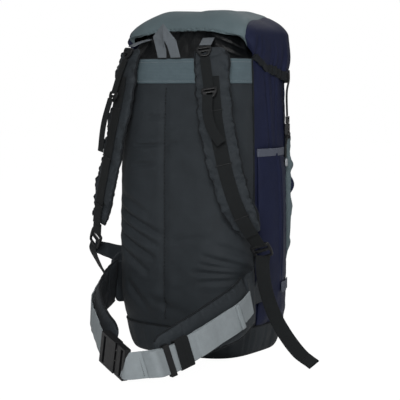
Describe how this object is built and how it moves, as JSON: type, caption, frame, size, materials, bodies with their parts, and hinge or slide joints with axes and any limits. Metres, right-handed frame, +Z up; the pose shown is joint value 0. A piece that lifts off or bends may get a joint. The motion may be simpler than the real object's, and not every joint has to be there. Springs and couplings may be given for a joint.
{
  "type": "hiking backpack",
  "caption": "Top-loading hiking backpack with a domed lid, padded shoulder harness, load lifters, pockets and a buckled hip belt.",
  "frame": {"origin": "middle of the flat base, on the ground", "axes": "+Z up, the harness side faces -Y, the wearer's left is +X"},
  "size_m": [0.5659, 0.5583, 0.705],
  "materials": {
    "black_nylon": "woven ripstop nylon, dark charcoal, slight sheen",
    "navy_nylon": "woven nylon, deep navy",
    "teal_nylon": "coarse woven nylon, grey-green",
    "grey_webbing": "ribbed polyester webbing, mid grey",
    "black_webbing": "ribbed nylon webbing, black",
    "padding": "padded nylon over foam, charcoal",
    "hardware": "moulded acetal, satin black",
    "foam": "closed-cell foam, dark grey",
    "frame_plastic": "polyethylene sheet, milky",
    "alloy": "mill-finish flat bar"
  },
  "bodies": {
    "pack": {"back_panel": "black_nylon", "side_panel_left": "navy_nylon", "side_panel_right": "navy_nylon", "front_panel": "teal_nylon", "base_panel": "black_nylon", "storm_collar": "black_nylon", "yoke_band": "grey_webbing", "back_foam": "foam", "frame_sheet": "frame_plastic", "frame_stay_left": "alloy", "frame_stay_right": "alloy", "side_pocket_left": "navy_nylon", "side_pocket_right": "navy_nylon", "front_pocket": "teal_nylon", "lid_buckle_housing_left": "hardware", "lid_buckle_housing_right": "hardware", "lid_anchor_left": "black_webbing", "lid_anchor_right": "black_webbing", "shoulder_pad_left": "padding", "shoulder_pad_right": "padding", "shoulder_webbing_left": "black_webbing", "shoulder_webbing_right": "black_webbing", "anchor_tab_left": "black_nylon", "anchor_tab_right": "black_nylon", "lifter_anchor_left": "grey_webbing", "lifter_anchor_right": "grey_webbing", "lifter_ring_left": "hardware", "lifter_ring_right": "hardware", "lifter_webbing_left": "black_webbing", "lifter_webbing_right": "black_webbing", "lifter_lock_left": "hardware", "lifter_lock_right": "hardware", "lifter_tail_left": "black_webbing", "lifter_tail_right": "black_webbing"},
    "lid": {"lid_crown": "teal_nylon", "lid_cap_left": "navy_nylon", "lid_cap_right": "navy_nylon", "lid_hem": "black_webbing", "lid_zip_tape": "black_webbing", "lid_strap_left": "black_webbing", "lid_strap_right": "black_webbing", "lid_buckle_guide_left": "hardware", "lid_buckle_guide_right": "hardware"},
    "zip_slider": {"lid_zip_slider": "alloy"},
    "handle": {"grab_handle": "grey_webbing"},
    "wing_left": {"hip_wing_left": "padding", "belt_webbing_left": "grey_webbing", "belt_tail_left": "grey_webbing", "hip_buckle_guide": "hardware"},
    "wing_right": {"hip_wing_right": "padding", "belt_webbing_right": "grey_webbing", "hip_buckle_housing": "hardware"},
    "keeper": {"belt_keeper": "black_webbing"},
    "triglide": {"belt_triglide": "hardware"},
    "prong_upper": {"hip_prong_upper": "hardware"},
    "prong_lower": {"hip_prong_lower": "hardware"},
    "lock_left": {"strap_lock_left": "hardware", "strap_tail_left": "black_webbing"},
    "lock_right": {"strap_lock_right": "hardware", "strap_tail_right": "black_webbing"}
  },
  "joints": [
    {"name": "lid_open", "type": "hinge", "parent": "pack", "child": "lid", "pos_m": [0, -0.084, 0.65], "axis": [1, 0, 0], "range_deg": [0, 90]},
    {"name": "lid_zip_slide", "type": "slide", "parent": "lid", "child": "zip_slider", "axis": [-1, 0, 0], "range_m": [0, 0.124]},
    {"name": "handle_fold", "type": "hinge", "parent": "pack", "child": "handle", "pos_m": [0, -0.1415, 0.606], "axis": [1, 0, 0], "range_deg": [-5, 150]},
    {"name": "wing_left_swing", "type": "hinge", "parent": "pack", "child": "wing_left", "pos_m": [0.168, -0.088, 0.126], "axis": [0, 0, 1], "range_deg": [0, 30]},
    {"name": "wing_right_swing", "type": "hinge", "parent": "pack", "child": "wing_right", "pos_m": [-0.168, -0.088, 0.136], "axis": [0, 0, -1], "range_deg": [0, 30]},
    {"name": "keeper_slide", "type": "slide", "parent": "wing_left", "child": "keeper", "axis": [-0.3087, -0.9129, -0.2671], "range_m": [-0.004, 0.003]},
    {"name": "triglide_slide", "type": "slide", "parent": "wing_left", "child": "triglide", "axis": [-0.4251, -0.8586, -0.2865], "range_m": [-0.002, 0.002]},
    {"name": "prong_upper_squeeze", "type": "hinge", "parent": "wing_left", "child": "prong_upper", "pos_m": [0.0636, -0.368, 0.06128], "axis": [-0.4014, -0.9159, 0], "range_deg": [0, 7], "stiffness_Nm_per_rad": 0.4},
    {"name": "prong_lower_squeeze", "type": "hinge", "parent": "wing_left", "child": "prong_lower", "pos_m": [0.05654, -0.3649, 0.0287], "axis": [-0.4014, -0.9159, 0], "range_deg": [-7, 0], "stiffness_Nm_per_rad": 0.4},
    {"name": "lock_left_tilt", "type": "hinge", "parent": "pack", "child": "lock_left", "pos_m": [0.18947, -0.08454, 0.23298], "axis": [-0.9106, -0.2553, -0.3251], "range_deg": [0, 16]},
    {"name": "lock_right_tilt", "type": "hinge", "parent": "pack", "child": "lock_right", "pos_m": [-0.17704, -0.14078, 0.23983], "axis": [-0.7306, 0.4296, 0.5308], "range_deg": [0, 16]}
  ],
  "couplings": [
    {"joint": "prong_lower_squeeze", "follows": "prong_upper_squeeze", "ratio": -1}
  ]
}
